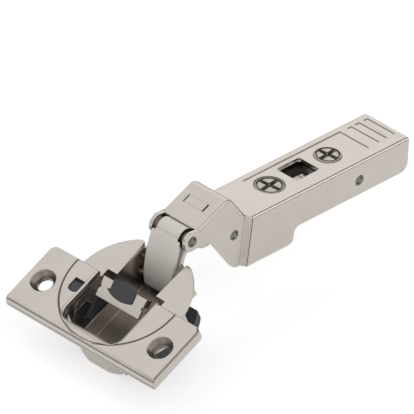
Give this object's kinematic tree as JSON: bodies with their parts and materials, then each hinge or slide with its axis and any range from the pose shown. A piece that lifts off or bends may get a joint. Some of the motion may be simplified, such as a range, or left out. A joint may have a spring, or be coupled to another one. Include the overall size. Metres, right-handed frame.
{
  "type": "concealed cup hinge",
  "caption": "Soft-close cup hinge for a furniture door: a flanged cup screwed into the door, two links, and a clip-on arm with side and depth adjusting screws.",
  "frame": {"origin": "centre of the carrier's two rails, in the plane where they seat on the mounting plate", "axes": "+X along the arm from the cup to the arm's rear end, +Y across, +Z square to the arm's top face"},
  "size_m": [0.1198, 0.0566, 0.04],
  "materials": {
    "nickel_steel": "nickel-plated, satin",
    "screw_steel": "nickel-plated, satin",
    "grey_plastic": "moulded, fine matt",
    "black_plastic": "moulded, matt"
  },
  "bodies": {
    "carrier": {"carrier": "nickel_steel", "lever_pin": "screw_steel"},
    "clip_lever": {"clip_lever": "nickel_steel"},
    "depth_slider": {"rear_pin": "screw_steel", "adjust_nut": "screw_steel"},
    "arm": {"arm_shell": "nickel_steel", "front_pin": "screw_steel", "mid_pin": "screw_steel"},
    "side_screw": {"side_adjust_screw": "screw_steel"},
    "cam_screw": {"depth_cam_screw": "screw_steel"},
    "outer_link": {"outer_link": "nickel_steel"},
    "cup": {"cup_shell": "nickel_steel", "flange_plate": "nickel_steel", "damper_housing": "black_plastic", "outer_cup_pin": "screw_steel", "inner_cup_pin": "screw_steel"},
    "inner_link": {"inner_link": "nickel_steel"},
    "actuator": {"actuator_bracket": "nickel_steel", "actuator_block": "grey_plastic"},
    "switch": {"soft_close_switch": "grey_plastic"}
  },
  "joints": [
    {"name": "clip_release", "type": "hinge", "parent": "carrier", "child": "clip_lever", "pos_m": [0.0205, 0, 0.004], "axis": [0, -1, 0], "range_deg": [0, 12], "stiffness_Nm_per_rad": 0.05},
    {"name": "depth_adjust", "type": "slide", "parent": "carrier", "child": "depth_slider", "axis": [1, 0, 0], "range_m": [-0.002, 0.002]},
    {"name": "side_adjust", "type": "hinge", "parent": "depth_slider", "child": "arm", "pos_m": [0.0085, 0, 0.00394], "axis": [0, 1, 0], "range_deg": [-1.38, 1.38]},
    {"name": "side_screw_turn", "type": "hinge", "parent": "arm", "child": "side_screw", "pos_m": [-0.01875, 0, 0.0098], "axis": [0, 0, 1], "range_deg": [-236, 236]},
    {"name": "cam_turn", "type": "hinge", "parent": "arm", "child": "cam_screw", "pos_m": [0.0043, 0, 0.0098], "axis": [0, 0, 1], "range_deg": [-60, 60]},
    {"name": "outer_swing", "type": "hinge", "parent": "arm", "child": "outer_link", "pos_m": [-0.0561, 0, 0.0102], "axis": [0, 1, 0], "range_deg": [0, 8.1]},
    {"name": "door_fold", "type": "hinge", "parent": "outer_link", "child": "cup", "pos_m": [-0.05897, 0, -0.00549], "axis": [0, 1, 0], "range_deg": [0, 108.57]},
    {"name": "inner_swing", "type": "hinge", "parent": "cup", "child": "inner_link", "pos_m": [-0.0585, 0, -0.00051], "axis": [0, 1, 0], "range_deg": [-136.07, 0]},
    {"name": "damper_stroke", "type": "slide", "parent": "cup", "child": "actuator", "axis": [-0.5392, 0, -0.8422], "range_m": [0, 0.01]},
    {"name": "damper_switch", "type": "slide", "parent": "cup", "child": "switch", "axis": [0.8936, 0, 0.4489], "range_m": [0, 0.0008]}
  ],
  "couplings": [
    {"joint": "cam_turn", "follows": "depth_adjust", "rad_per_m": 523.5},
    {"joint": "side_screw_turn", "follows": "side_adjust", "ratio": 171},
    {"joint": "outer_swing", "follows": "door_fold", "ratio": 0.074606},
    {"joint": "inner_swing", "follows": "door_fold", "ratio": -1.2533},
    {"joint": "damper_stroke", "follows": "door_fold", "m_per_rad": 0.0052773}
  ]
}
